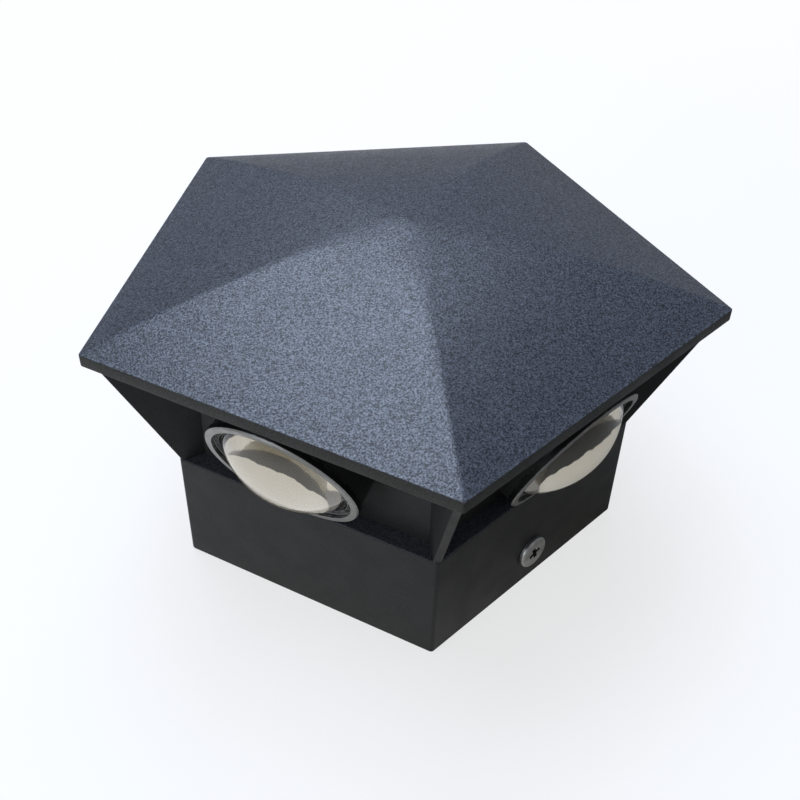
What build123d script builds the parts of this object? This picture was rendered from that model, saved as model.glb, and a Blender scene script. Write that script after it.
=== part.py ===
from build123d import *
import math
import os

# A five-sided outdoor wall light that throws five fans of light along the wall.
# Millimetres. The lamp lies on its back as it does on a bench: z = 0 is the wall,
# +Z points away from the wall, and the origin is the middle of the wall bracket.
# One corner of the pentagon points along -Y. Faces are numbered anticlockwise
# from the one left of that corner.

FACE_COUNT = 5
FIRST_CORNER_ANGLE = -90.0
SECTOR = 360.0 / FACE_COUNT
HALF_SECTOR = math.radians(SECTOR / 2)

# Cover: a thin pentagonal shell, five curved panels meeting at hips
cover_corner_radius = 70.0
cover_thickness = 2.8
cover_rim_z = 60.2
cover_rise = 13.3
cover_crown_slope = 4.5
cover_boss_radius = 3.2

# Housing: base with its ledge, inner wall, five corner fins and five lens barrels
skirt_corner_radius = 53.6
skirt_height = 28.9
skirt_wall = 2.5
skirt_corner_rounding = 1.0
ledge_width = 4.1
inner_wall = 2.5
seat_z = 19.5
fin_thickness = 1.8
fin_top_inset = 2.4
fin_gap = 0.3
cover_gasket_thickness = 1.0
gasket_side_gap = 0.3

# Lens unit, measured along its own axis, outwards from the ring's front face
ring_edge_gap = 0.1
ring_face_width = 1.6
ring_step_width = 1.15
ring_flange = 1.6
ring_recess = 1.0
ring_chamfer = 0.3
ring_proud = 0.6
ring_groove = 0.25
ring_groove_count = 2
sleeve_length = 3.6
sleeve_wall = 0.65
thread_gap = 0.05
lens_gap = 0.15
lens_shoulder = 0.5
lens_rise = 6.2
lens_base_depth = 1.2
lens_flange = 1.6
lens_seal_thickness = 0.8
lens_seal_width = 1.8
cup_flange = 0.8
cup_wall = 0.9
cup_length = 5.2
cup_lip_width = 2.4
cup_hole_gap = 0.66
board_thickness = 1.2
board_gap = 0.2
boss_wall = 1.2
boss_floor = 2.0
emitter_side = 5.0
emitter_height = 0.7
phosphor_radius = 1.9
phosphor_height = 0.3
lead_hole_radius = 2.5
lead_radius = 0.9
lead_run = 13.0
lead_bend = 3.5
lead_fall = 0.6
lead_end_share = 0.72

# Back of the head: sealed plate, driver and cable gland
back_plate_thickness = 2.0
back_gasket_thickness = 1.0
back_plate_gap = 0.3
driver_side_gap = 0.9
driver_height = 22.0
driver_pad_thickness = 1.0
driver_pad_inset = 3.0
driver_rounding = 1.5
gland_side_gap = 1.2
gland_face_angle = 54.0
gland_thread_radius = 6.0
gland_across_flats = 14.0
gland_hex_height = 3.0
gland_nut_height = 6.0
gland_locknut_height = 3.0
gland_cable_radius = 3.2
gland_seal_wall = 1.4
gland_neck_wall = 0.8
gland_thread_end = 1.0
gland_nut_nose = 0.6
gland_nut_taper = 2.7
gland_grip = 3.6

# Screws
overcut = 1.0
thread_run_out = 0.5
m3_radius = 1.5
m3_head_radius = 2.75
m3_head_height = 1.8
m4_radius = 2.0
m4_head_radius = 4.0
m4_head_height = 2.6
clearance_on_radius = 0.2
tapped_gap = 0.05
cross_length = 4.4
cross_width = 0.9
cross_depth = 1.3
cover_screw_inset = 7.4
cover_screw_reach = 8.0
lug_radius = 4.2
lug_height = 2.5
lug_z = 54.0
lug_gap = 0.3
back_screw_inset = 6.0
back_screw_length = 9.5
back_boss_radius = 4.2
back_boss_height = 9.0

# Wall bracket: a plate with two turned-up ears, each with a slot that is open
# away from the wall, so that the head lifts off once its side screws are slack
bracket_thickness = 2.0
bracket_plate_radius = 27.0
bracket_arm_width = 18.0
bracket_ear_top = 15.5
bracket_bend_radius = 1.6
ear_gap = 0.4
ear_slot_gap = 0.2
wall_screw_circle_diameter = 40.0
wall_screw_count = 3
wall_hole_radius = 2.25
cable_hole_radius = 9.0
side_screw_z = 9.0
side_screw_length = 12.0
side_screw_faces = {"right": -54.0, "left": 162.0}
nut_plate_gap = 0.3
nut_plate_thickness = 2.5
nut_plate_width = 10.0
nut_plate_bottom = 4.5
nut_plate_top_gap = 0.2
earth_screw_inset = 5.0
earth_screw_angle = 234.0
earth_washer_height = 0.8
earth_washer_radius = 4.6
earth_screw_tip = 0.2

# Derived levels and radii
APOTHEM = math.cos(HALF_SECTOR)
cover_top_z = cover_rim_z + cover_thickness
crown_z = cover_top_z + cover_rise
cover_apothem = cover_corner_radius * APOTHEM
skirt_apothem = skirt_corner_radius * APOTHEM
skirt_inner_apothem = skirt_apothem - skirt_wall
wall_apothem = skirt_apothem - ledge_width
cavity_apothem = wall_apothem - inner_wall
back_screw_offset = skirt_inner_apothem / APOTHEM - back_screw_inset
cover_screw_offset = cavity_apothem / APOTHEM - cover_screw_inset
gland_corner_radius = gland_across_flats / math.sqrt(3)
gland_offset = back_screw_offset - back_boss_radius - gland_side_gap - gland_corner_radius
driver_radius = gland_offset - gland_corner_radius - driver_side_gap
earth_screw_offset = bracket_plate_radius - earth_screw_inset
slant = math.atan2(cover_apothem - skirt_apothem, cover_rim_z - skirt_height)
slant_length = math.hypot(cover_apothem - skirt_apothem, cover_rim_z - skirt_height)
ring_radius = slant_length / 2 - ring_edge_gap
ring_mouth_radius = ring_radius - ring_face_width
ring_lip_radius = ring_mouth_radius - ring_step_width
lens_radius = ring_lip_radius - lens_gap
ring_middle = (cover_apothem + skirt_apothem) / 2 + ring_proud * math.cos(slant)
ring_middle_z = (cover_rim_z + skirt_height) / 2 - ring_proud * math.sin(slant)
sleeve_end = -ring_flange - sleeve_length
bore_radius = ring_lip_radius + lens_shoulder + sleeve_wall + 2 * thread_gap
sleeve_radius = bore_radius - thread_gap
sleeve_inner = sleeve_radius - sleeve_wall
seated_radius = sleeve_inner - 2 * thread_gap
lens_back = -ring_flange - lens_flange
seal_back = lens_back - lens_seal_thickness
cup_mouth_radius = seated_radius - cup_lip_width
cup_hole_radius = emitter_side / math.sqrt(2) + cup_hole_gap
board_top = seal_back - cup_length
board_bottom = board_top - board_thickness
boss_radius = bore_radius + boss_wall
back_plate_top = seat_z - back_gasket_thickness
back_plate_bottom = back_plate_top - back_plate_thickness
driver_bottom = back_plate_top + driver_pad_thickness
driver_top = driver_bottom + driver_height
ear_outer = skirt_inner_apothem - ear_gap
nut_plate_outer = ear_outer - bracket_thickness - nut_plate_gap
far = 2 * cover_corner_radius


def corner_angle(index):
    return FIRST_CORNER_ANGLE + SECTOR * index


def face_angle(index):
    return corner_angle(index) - SECTOR / 2


def polar(radius, angle, z=0.0):
    turn = math.radians(angle)
    return Vector(radius * math.cos(turn), radius * math.sin(turn), z)


def pentagon(apothem, rounding=0.0):
    corners = [polar(apothem / APOTHEM, corner_angle(i)) for i in range(FACE_COUNT)]
    outline = make_face(Polyline(*corners, close=True))
    if rounding > 0:
        outline = fillet(outline.vertices(), rounding)
    return outline


def prism(apothem, low, high, rounding=0.0):
    return Pos(0, 0, low) * extrude(pentagon(apothem, rounding), high - low)


def rod(radius, low, high):
    return Pos(0, 0, low) * Cylinder(radius, high - low, align=(Align.CENTER, Align.CENTER, Align.MIN))


def tube(outer, inner, low, high):
    return rod(outer, low, high) - rod(inner, low, high)


def under_crown(drop):
    # Everything under the cover's outer surface once that is lowered by drop.
    # Each panel is an arc swept along its face, and the five of them intersect.
    slope = math.radians(cover_crown_slope)
    top = (0, crown_z - drop)
    rim = (cover_apothem, cover_top_z - drop)
    panel_arc = TangentArc(top, rim, tangent=(math.cos(slope), -math.sin(slope)))
    rim_slope = 2 * math.atan2(cover_rise, cover_apothem) - slope
    outside = (rim[0] + far, rim[1] - far * math.tan(rim_slope))
    inside = (-far, top[1] + far * math.tan(slope))
    floor_z = -far
    edges = [
        panel_arc,
        Line(rim, outside),
        Line(outside, (outside[0], floor_z)),
        Line((outside[0], floor_z), (-far, floor_z)),
        Line((-far, floor_z), inside),
        Line(inside, top),
    ]
    profile = make_face(edges)
    solid = None
    for i in range(FACE_COUNT):
        outward = polar(1, face_angle(i))
        sideways = Vector(outward.Y, -outward.X, 0)
        plane = Plane(origin=(0, 0, 0), x_dir=outward, z_dir=sideways)
        panel = extrude(plane * profile, far, both=True)
        solid = panel if solid is None else solid & panel
    return solid


def unit_plane(index):
    # Frame of one lens unit: +Z runs out of the lens, origin on the ring's front
    angle = face_angle(index)
    outward = polar(1, angle)
    axis = outward * math.cos(slant) - Vector(0, 0, math.sin(slant))
    sideways = Vector(-outward.Y, outward.X, 0)
    return Plane(origin=polar(ring_middle, angle, ring_middle_z), x_dir=sideways, z_dir=axis)


def on_unit(index, shape):
    return unit_plane(index).location * shape


def on_face(angle, apothem, z, shape):
    # Places a shape whose +Z is to point straight out of the face at this angle
    outward = polar(1, angle)
    plane = Plane(origin=polar(apothem, angle, z), x_dir=Vector(-outward.Y, outward.X, 0), z_dir=outward)
    return plane.location * shape


def spun(points):
    return revolve(Plane.XZ * make_face(Polyline(*points, close=True)), Axis.Z)


def pan_screw(radius, length, head_radius, head_height, with_cross=True):
    # Head above z = 0 and shank below it
    head = rod(head_radius, 0, head_height)
    head = fillet(head.edges().sort_by(Axis.Z)[-1], head_height * 0.55)
    tip = Pos(0, 0, -length) * Cylinder(radius, length, align=(Align.CENTER, Align.CENTER, Align.MIN))
    tip = chamfer(tip.edges().sort_by(Axis.Z)[0], radius * 0.3)
    screw = head + tip
    if with_cross:
        share = head_radius / m4_head_radius
        slot = Pos(0, 0, head_height) * Box(cross_length * share, cross_width * share, 2 * cross_depth * share)
        screw -= slot + Rot(0, 0, 90) * slot
    return screw


def make_cover():
    shell = prism(cover_apothem, cover_rim_z - cover_rise, crown_z + overcut)
    shell = shell & under_crown(0)
    shell -= under_crown(cover_thickness)
    inner_surface = under_crown(cover_thickness / 2)
    for i in range(FACE_COUNT):
        place = polar(cover_screw_offset, corner_angle(i))
        post = Pos(place.X, place.Y, 0) * rod(cover_boss_radius, lug_z + lug_height + lug_gap, crown_z)
        shell += post & inner_surface
        thread_top = lug_z + lug_height + cover_screw_reach + thread_run_out
        shell -= Pos(place.X, place.Y, 0) * rod(m3_radius + tapped_gap, lug_z, thread_top)
    return shell


def make_base():
    # Five walls, thick from the seat up to the ledge, with the back plate's screw bosses
    body = prism(skirt_apothem, 0, skirt_height, skirt_corner_rounding)
    body -= prism(skirt_inner_apothem, -overcut, seat_z)
    body -= prism(cavity_apothem, seat_z - overcut, crown_z)
    seat_zone = prism(skirt_apothem - skirt_wall / 2, 0, crown_z)
    thread_depth = back_plate_bottom + back_screw_length + thread_run_out
    for i in range(FACE_COUNT):
        place = Rot(0, 0, corner_angle(i)) * Pos(back_screw_offset, 0, 0)
        body += place * rod(back_boss_radius, seat_z, seat_z + back_boss_height) & seat_zone
        body -= place * rod(m3_radius + tapped_gap, seat_z - overcut, thread_depth)
    for angle in side_screw_faces.values():
        hole = rod(m4_radius + clearance_on_radius, -2 * skirt_wall, overcut)
        body -= on_face(angle, skirt_apothem, side_screw_z, hole)
    return body


def make_core():
    # The inner wall that stands on the ledge and carries the barrels and the cover's lugs
    body = prism(wall_apothem, skirt_height, crown_z) & under_crown(cover_thickness + cover_gasket_thickness)
    body -= prism(cavity_apothem, skirt_height - overcut, crown_z)
    corner_zone = prism(wall_apothem - inner_wall / 2, 0, crown_z)
    web_length = wall_apothem / APOTHEM - cover_screw_offset
    web = Pos(web_length / 2, 0, lug_z + lug_height / 2) * Box(web_length, 2 * lug_radius, lug_height)
    lug = rod(lug_radius, lug_z, lug_z + lug_height) + web
    for i in range(FACE_COUNT):
        body -= on_unit(i, rod(boss_radius, board_bottom - boss_floor, overcut))
        body -= on_unit(i, rod(lead_hole_radius, -2 * boss_radius, 0))
        place = Rot(0, 0, corner_angle(i)) * Pos(cover_screw_offset, 0, 0)
        body += place * lug & corner_zone
        body -= place * rod(m3_radius + clearance_on_radius, 0, crown_z)
    return body


def make_fins():
    # Thin plates in the planes of the corners, from the ledge up to the cover
    inner_r = wall_apothem / APOTHEM - inner_wall
    foot_r = skirt_corner_radius - skirt_corner_rounding / 2
    head_r = cover_corner_radius - fin_top_inset
    outline = [(inner_r, skirt_height), (foot_r, skirt_height), (head_r, cover_rim_z)]
    outline += [(head_r, crown_z), (inner_r, crown_z)]
    blade = extrude(Plane.XZ * make_face(Polyline(*outline, close=True)), fin_thickness / 2, both=True)
    room = under_crown(cover_thickness + fin_gap) - prism(wall_apothem, 0, crown_z)
    return [Rot(0, 0, corner_angle(i)) * blade & room for i in range(FACE_COUNT)]


def make_barrels():
    # Round cups that hold the lens units, filled out behind as far as the inner wall
    below_fins = under_crown(cover_thickness + fin_gap)
    wall_zone = prism(wall_apothem, 0, crown_z)
    barrels = []
    for i in range(FACE_COUNT):
        barrel = on_unit(i, rod(boss_radius, -2 * boss_radius, -ring_flange)) - wall_zone
        barrel += on_unit(i, rod(boss_radius, board_bottom - boss_floor, -ring_flange))
        barrel = barrel & below_fins
        barrel -= on_unit(i, rod(bore_radius, board_bottom, overcut))
        barrel -= on_unit(i, rod(lead_hole_radius, -2 * boss_radius, 0))
        barrels.append(barrel)
    return barrels


def make_cover_gasket():
    ring = prism(wall_apothem - gasket_side_gap, cover_rim_z - cover_rise, crown_z)
    ring -= prism(cavity_apothem + gasket_side_gap, cover_rim_z - cover_rise, crown_z)
    ring = ring & under_crown(cover_thickness)
    return ring - under_crown(cover_thickness + cover_gasket_thickness)


def make_cover_screws():
    length = lug_height + cover_screw_reach
    screw = Pos(0, 0, lug_z) * Rot(180, 0, 0) * pan_screw(m3_radius, length, m3_head_radius, m3_head_height)
    return [Rot(0, 0, corner_angle(i)) * Pos(cover_screw_offset, 0, 0) * screw for i in range(FACE_COUNT)]


def make_lens_ring():
    pitch = ring_recess / ring_groove_count
    outline = [(ring_radius - ring_chamfer, 0), (ring_radius, -ring_chamfer), (ring_radius, -ring_flange)]
    outline += [(sleeve_radius, -ring_flange), (sleeve_radius, sleeve_end)]
    outline += [(sleeve_inner, sleeve_end), (sleeve_inner, -ring_flange)]
    outline += [(ring_lip_radius, -ring_flange), (ring_lip_radius, -ring_recess)]
    for i in range(ring_groove_count):
        low = -ring_recess + pitch * i
        outline += [(ring_mouth_radius - ring_groove, low), (ring_mouth_radius, low + pitch * 0.5)]
    outline += [(ring_mouth_radius - ring_groove, 0)]
    return spun(outline)


def make_lens():
    sphere_radius = (lens_radius ** 2 + lens_rise ** 2) / (2 * lens_rise)
    sphere_middle = lens_rise - lens_base_depth - sphere_radius
    dome = Pos(0, 0, sphere_middle) * Sphere(sphere_radius)
    dome = dome & rod(lens_radius, -lens_base_depth, lens_rise + overcut)
    neck = rod(lens_radius, -ring_flange, -lens_base_depth)
    return dome + neck + rod(seated_radius, lens_back, -ring_flange)


def make_lens_seal():
    return tube(seated_radius, seated_radius - lens_seal_width, seal_back, lens_back)


def make_reflector_cup():
    outer = seated_radius
    skirt_inner = outer - cup_wall
    front = seal_back
    outline = [(outer, front), (outer, board_top), (skirt_inner, board_top)]
    outline += [(skirt_inner, front - cup_flange - cup_wall), (cup_hole_radius + cup_wall, board_top)]
    outline += [(cup_hole_radius, board_top), (cup_mouth_radius, front)]
    return spun(outline)


def make_led_board():
    return rod(bore_radius - board_gap, board_bottom, board_top)


def make_emitter():
    base = Pos(0, 0, board_top + emitter_height / 2) * Box(emitter_side, emitter_side, emitter_height)
    return base + rod(phosphor_radius, board_top + emitter_height, board_top + emitter_height + phosphor_height)


def make_lead(index):
    # From the back of the LED board, through the boss and down to the driver
    def along(depth):
        return (ring_middle - depth * math.cos(slant), ring_middle_z + depth * math.sin(slant))

    start = along(-board_bottom)
    turn_in = along(-board_bottom + lead_run)
    end_r = driver_radius * lead_end_share
    drop = (end_r, turn_in[1] - lead_fall)
    end = (end_r, driver_top)
    plane = Plane(origin=(0, 0, 0), x_dir=polar(1, face_angle(index)), z_dir=polar(1, face_angle(index) - 90))
    path = plane * FilletPolyline(start, turn_in, drop, end, radius=lead_bend)
    section = Plane(origin=path @ 0, z_dir=path % 0) * Circle(lead_radius)
    return sweep(section, path=path)


def make_back_plate():
    plate = prism(skirt_inner_apothem - back_plate_gap, back_plate_bottom, back_plate_top)
    for i in range(FACE_COUNT):
        place = polar(back_screw_offset, corner_angle(i))
        plate -= Pos(place.X, place.Y, 0) * rod(m3_radius + clearance_on_radius, 0, seat_z)
    gland = polar(gland_offset, gland_face_angle)
    plate -= Pos(gland.X, gland.Y, 0) * rod(gland_thread_radius + thread_gap, 0, seat_z)
    return plate


def make_back_gasket():
    ring = prism(skirt_inner_apothem - back_plate_gap, back_plate_top, seat_z)
    ring -= prism(cavity_apothem + gasket_side_gap, back_plate_top, seat_z)
    for i in range(FACE_COUNT):
        place = polar(back_screw_offset, corner_angle(i))
        pad = Pos(place.X, place.Y, 0) * rod(back_boss_radius, back_plate_top, seat_z)
        ring += pad & prism(skirt_inner_apothem - back_plate_gap, back_plate_top, seat_z)
        ring -= Pos(place.X, place.Y, 0) * rod(m3_radius + clearance_on_radius, back_plate_top, seat_z)
    return ring


def make_back_screws():
    screw = pan_screw(m3_radius, back_screw_length, m3_head_radius, m3_head_height)
    screw = Pos(0, 0, back_plate_bottom) * Rot(180, 0, 0) * screw
    return [Rot(0, 0, corner_angle(i)) * Pos(back_screw_offset, 0, 0) * screw for i in range(FACE_COUNT)]


def make_driver():
    case = rod(driver_radius, driver_bottom, driver_top)
    return fillet(case.edges().sort_by(Axis.Z)[-1], driver_rounding)


def make_driver_pad():
    return rod(driver_radius - driver_pad_inset, back_plate_top, driver_bottom)


def hexagon(low, high):
    outline = RegularPolygon(gland_across_flats / 2, 6, major_radius=False)
    return Pos(0, 0, low) * extrude(outline, high - low)


def at_gland(shape):
    place = polar(gland_offset, gland_face_angle)
    return Pos(place.X, place.Y, 0) * shape


def make_gland_body():
    hex_bottom = back_plate_bottom - gland_hex_height
    body = hexagon(hex_bottom, back_plate_bottom)
    body += rod(gland_thread_radius, back_plate_bottom, back_plate_top + gland_locknut_height + gland_thread_end)
    neck = gland_cable_radius + gland_seal_wall + gland_neck_wall
    body += rod(neck, hex_bottom - gland_grip, hex_bottom)
    bore = gland_cable_radius + gland_seal_wall
    body -= rod(bore, hex_bottom - gland_nut_height, hex_bottom)
    body -= rod(gland_cable_radius, hex_bottom - overcut, back_plate_top + 2 * gland_locknut_height)
    return at_gland(body)


def make_gland_seal():
    low = back_plate_bottom - gland_hex_height - gland_grip
    high = back_plate_bottom - gland_hex_height
    return at_gland(tube(gland_cable_radius + gland_seal_wall, gland_cable_radius, low, high))


def make_gland_nut():
    high = back_plate_bottom - gland_hex_height
    low = high - gland_nut_height
    nut = hexagon(low + gland_nut_taper, high)
    nut += Pos(0, 0, low) * Cone(
        gland_thread_radius - gland_nut_nose,
        gland_across_flats / 2,
        gland_nut_taper,
        align=(Align.CENTER, Align.CENTER, Align.MIN),
    )
    neck = gland_cable_radius + gland_seal_wall + gland_neck_wall
    nut -= rod(neck + thread_gap, high - gland_grip, high)
    nut -= rod(gland_cable_radius, low - overcut, high)
    return at_gland(nut)


def make_gland_locknut():
    nut = hexagon(back_plate_top, back_plate_top + gland_locknut_height)
    nut -= rod(gland_thread_radius + thread_gap, back_plate_top, back_plate_top + gland_locknut_height)
    return at_gland(nut)


def make_bracket():
    plate = rod(bracket_plate_radius, 0, bracket_thickness)
    for angle in side_screw_faces.values():
        turn = Rot(0, 0, angle)
        arm = Pos(ear_outer / 2, 0, bracket_thickness / 2) * Box(ear_outer, bracket_arm_width, bracket_thickness)
        ear_middle = ear_outer - bracket_thickness / 2
        ear = Pos(ear_middle, 0, bracket_ear_top / 2) * Box(bracket_thickness, bracket_arm_width, bracket_ear_top)
        bent = arm + ear
        outer_bend = bent.edges().filter_by(Axis.Y).group_by(Axis.Z)[0].sort_by(Axis.X)[-1]
        bent = fillet(outer_bend, bracket_bend_radius)
        slot_half = m4_radius + ear_slot_gap
        slot_height = bracket_ear_top - side_screw_z + overcut
        slot = Pos(ear_middle, 0, side_screw_z) * Rot(0, 90, 0) * Cylinder(slot_half, 2 * bracket_thickness)
        slot += Pos(ear_middle, 0, side_screw_z + slot_height / 2) * Box(
            2 * bracket_thickness, 2 * slot_half, slot_height
        )
        plate += turn * (bent - slot)
    plate -= rod(cable_hole_radius, -overcut, bracket_thickness + overcut)
    for i in range(wall_screw_count):
        place = polar(wall_screw_circle_diameter / 2, gland_face_angle + 360.0 / wall_screw_count * i)
        plate -= Pos(place.X, place.Y, 0) * rod(wall_hole_radius, -overcut, bracket_thickness + overcut)
    place = polar(earth_screw_offset, earth_screw_angle)
    plate -= Pos(place.X, place.Y, 0) * rod(m4_radius + tapped_gap, -overcut, bracket_thickness + overcut)
    return plate


def make_earth_screw():
    place = polar(earth_screw_offset, earth_screw_angle)
    length = bracket_thickness + earth_washer_height - earth_screw_tip
    screw = pan_screw(m4_radius, length, m4_head_radius, m4_head_height)
    screw = Pos(0, 0, bracket_thickness + earth_washer_height) * screw
    screw += rod(earth_washer_radius, bracket_thickness, bracket_thickness + earth_washer_height)
    return Pos(place.X, place.Y, 0) * screw


def make_side_screw(angle):
    screw = pan_screw(m4_radius, side_screw_length, m4_head_radius, m4_head_height)
    return on_face(angle, skirt_apothem, side_screw_z, screw)


def make_nut_plate(angle):
    top = back_plate_bottom - nut_plate_top_gap
    height = top - nut_plate_bottom
    middle_z = (top + nut_plate_bottom) / 2
    block = Pos(nut_plate_outer - nut_plate_thickness / 2, 0, middle_z)
    block = block * Box(nut_plate_thickness, nut_plate_width, height)
    block = Rot(0, 0, angle) * block
    hole = rod(m4_radius + tapped_gap, -2 * side_screw_length, overcut)
    return block - on_face(angle, skirt_apothem, side_screw_z, hole)


def write(name, shape):
    if isinstance(shape, list):
        shape = Compound(children=shape)
    export_step(shape, os.path.join("parts", name + ".step"))


def main():
    os.makedirs("parts", exist_ok=True)
    write("cover_plate", make_cover())
    write("cover_gasket", make_cover_gasket())
    write("cover_screws", make_cover_screws())
    write("housing_base", make_base())
    write("housing_core", make_core())
    write("housing_fins", make_fins())
    write("lens_barrels", make_barrels())
    unit_parts = {
        "lens_ring": make_lens_ring(),
        "lens": make_lens(),
        "lens_seal": make_lens_seal(),
        "reflector_cup": make_reflector_cup(),
        "led_board": make_led_board(),
        "led_emitter": make_emitter(),
    }
    for i in range(FACE_COUNT):
        for name, shape in unit_parts.items():
            write(f"{name}_{i + 1}", on_unit(i, shape))
    write("led_leads", [make_lead(i) for i in range(FACE_COUNT)])
    write("driver_case", make_driver())
    write("driver_pad", make_driver_pad())
    write("back_plate", make_back_plate())
    write("back_gasket", make_back_gasket())
    write("back_plate_screws", make_back_screws())
    write("gland_body", make_gland_body())
    write("gland_seal", make_gland_seal())
    write("gland_nut", make_gland_nut())
    write("gland_locknut", make_gland_locknut())
    write("wall_bracket", make_bracket())
    write("earth_screw", make_earth_screw())
    for side, angle in side_screw_faces.items():
        write(f"side_screw_{side}", make_side_screw(angle))
        write(f"nut_plate_{side}", make_nut_plate(angle))


main()
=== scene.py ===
# %% [markdown]
# A five-sided outdoor wall light, lying on its back as on a bench. Its domed cover
# overhangs five tilted lenses, and each of them throws a fan of light along the wall.
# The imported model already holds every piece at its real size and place. This script
# gives the pieces that show a finer mesh, and every surface its finish.

# %% Load the frame
import math

import bmesh
import bpy
from mathutils import Matrix, Vector


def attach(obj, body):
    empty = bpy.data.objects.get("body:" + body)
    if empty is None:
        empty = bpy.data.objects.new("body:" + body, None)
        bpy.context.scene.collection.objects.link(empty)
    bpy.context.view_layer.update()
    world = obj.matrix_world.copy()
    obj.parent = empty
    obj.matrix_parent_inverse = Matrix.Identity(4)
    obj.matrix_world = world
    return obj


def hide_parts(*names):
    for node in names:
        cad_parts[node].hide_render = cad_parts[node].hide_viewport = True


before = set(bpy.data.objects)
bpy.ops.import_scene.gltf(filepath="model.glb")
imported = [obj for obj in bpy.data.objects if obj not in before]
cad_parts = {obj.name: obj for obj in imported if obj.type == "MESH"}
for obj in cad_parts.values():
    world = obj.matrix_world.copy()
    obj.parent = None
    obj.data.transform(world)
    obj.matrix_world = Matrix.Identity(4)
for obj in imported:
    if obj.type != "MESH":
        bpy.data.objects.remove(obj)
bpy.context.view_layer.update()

# %% [markdown]
# The drawing sizes are those of the real lamp, in millimetres, and MM turns them into
# Blender's metres. A pentagon is easiest to think of by its corner radius and by its
# apothem, the distance from the middle to a flat side.

# %% Drawing sizes
MM = 0.001
FACES = 5
FIRST_FACE = -126.0
SECTOR = 360.0 / FACES
APOTHEM = math.cos(math.radians(SECTOR / 2))
COVER_CORNER = 70.0
COVER_RIM_LOW = 60.2
COVER_THICK = 2.8
COVER_RISE = 13.3
COVER_CROWN_SLOPE = 4.5
SKIRT_CORNER = 53.6
SKIRT_TOP = 28.9
RING_PROUD = 0.6
RING_GAP = 0.1
COVER_EDGE = COVER_CORNER * APOTHEM
SKIRT_EDGE = SKIRT_CORNER * APOTHEM
SLANT = math.atan2(COVER_EDGE - SKIRT_EDGE, COVER_RIM_LOW - SKIRT_TOP)
SLANT_LENGTH = math.hypot(COVER_EDGE - SKIRT_EDGE, COVER_RIM_LOW - SKIRT_TOP)
RING_RADIUS = SLANT_LENGTH / 2 - RING_GAP
print("slant", round(math.degrees(SLANT), 2), "ring radius", round(RING_RADIUS, 2))

# %% [markdown]
# The camera is the photograph's own. Fitting the corners of the cover and of the base
# gave its direction, its distance and its angle of view. Three axes in a matrix place
# it, which keeps the small roll that the hand-held picture has.

# %% Camera
CAMERA_AZIMUTH = -9.61
CAMERA_ELEVATION = 40.28
CAMERA_ROLL = 1.80
CAMERA_DISTANCE = 271.9
CAMERA_ASIDE = 1.0
CAMERA_ABOVE = 20.3
CAMERA_LENS = 48.2


def camera_axes(azimuth, elevation, roll):
    a, e = math.radians(azimuth), math.radians(elevation)
    back = Vector((math.sin(a) * math.cos(e), -math.cos(a) * math.cos(e), math.sin(e)))
    right = Vector((math.cos(a), math.sin(a), 0))
    turn = Matrix.Rotation(math.radians(roll), 3, back)
    return turn @ right, turn @ back.cross(right), back


right, up, back = camera_axes(CAMERA_AZIMUTH, CAMERA_ELEVATION, CAMERA_ROLL)
camera = bpy.data.objects.new("camera", bpy.data.cameras.new("camera"))
bpy.context.scene.collection.objects.link(camera)
spot = (back * CAMERA_DISTANCE + right * CAMERA_ASIDE + up * CAMERA_ABOVE) * MM
axes = Matrix((right, up, back)).transposed().to_4x4()
camera.matrix_world = Matrix.Translation(spot) @ axes
camera.data.lens = CAMERA_LENS
camera.data.clip_start = 10 * MM
bpy.context.scene.camera = camera
bpy.context.scene.view_settings.view_transform = "Standard"
print("camera at", [round(v / MM, 1) for v in spot])

# %% [markdown]
# The world, the floor and every finish are built from nodes. One helper adds a node, fills
# its inputs with numbers or links and gives back its result, so that the code of a
# material reads like a sum. The others put names to the nodes that come up most.


# %% Node helpers
def add_node(tree, kind, inputs, output=0, **settings):
    """Returns one output of the new node, or all of them where output is None."""
    node = tree.nodes.new("ShaderNode" + kind)
    for label, value in settings.items():
        setattr(node, label, value)
    for label, value in inputs.items():
        if isinstance(value, bpy.types.NodeSocket):
            tree.links.new(value, node.inputs[label])
        else:
            node.inputs[label].default_value = value
    return node.outputs if output is None else node.outputs[output]


def maths(tree, operation, a, b, clamp=False):
    return add_node(tree, "Math", {0: a, 1: b}, operation=operation, use_clamp=clamp)


def ranged(tree, value, low, high, to_low=0.0, to_high=1.0, smooth=False):
    """Maps low..high to to_low..to_high and holds the ends."""
    ends = {"From Min": low, "From Max": high, "To Min": to_low, "To Max": to_high}
    kind = "SMOOTHSTEP" if smooth else "LINEAR"
    return add_node(tree, "MapRange", {"Value": value, **ends}, "Result", interpolation_type=kind)


def blend_colour(tree, factor, a, b):
    a, b = ((*c, 1) if isinstance(c, tuple) else c for c in (a, b))
    return add_node(tree, "Mix", {"Factor": factor, "A": a, "B": b}, "Result", data_type="RGBA")


def surface_from(tree, factor, first, second, output):
    """Mixes two shaders and gives the result to the output node."""
    mixed = add_node(tree, "MixShader", {0: factor, 1: first, 2: second})
    tree.links.new(mixed, tree.nodes[output].inputs["Surface"])


def seen_rays(tree):
    """1 for rays that show the surface, 0 for rays that only carry light."""
    path = add_node(tree, "LightPath", {}, None)
    shows = maths(tree, "ADD", path["Is Camera Ray"], path["Is Glossy Ray"], clamp=True)
    shows = maths(tree, "ADD", shows, path["Is Transmission Ray"], clamp=True)
    return maths(tree, "SUBTRACT", shows, path["Diffuse Depth"], clamp=True)


print("helpers", [f.__name__ for f in (add_node, maths, ranged, blend_colour, seen_rays)])

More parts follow.
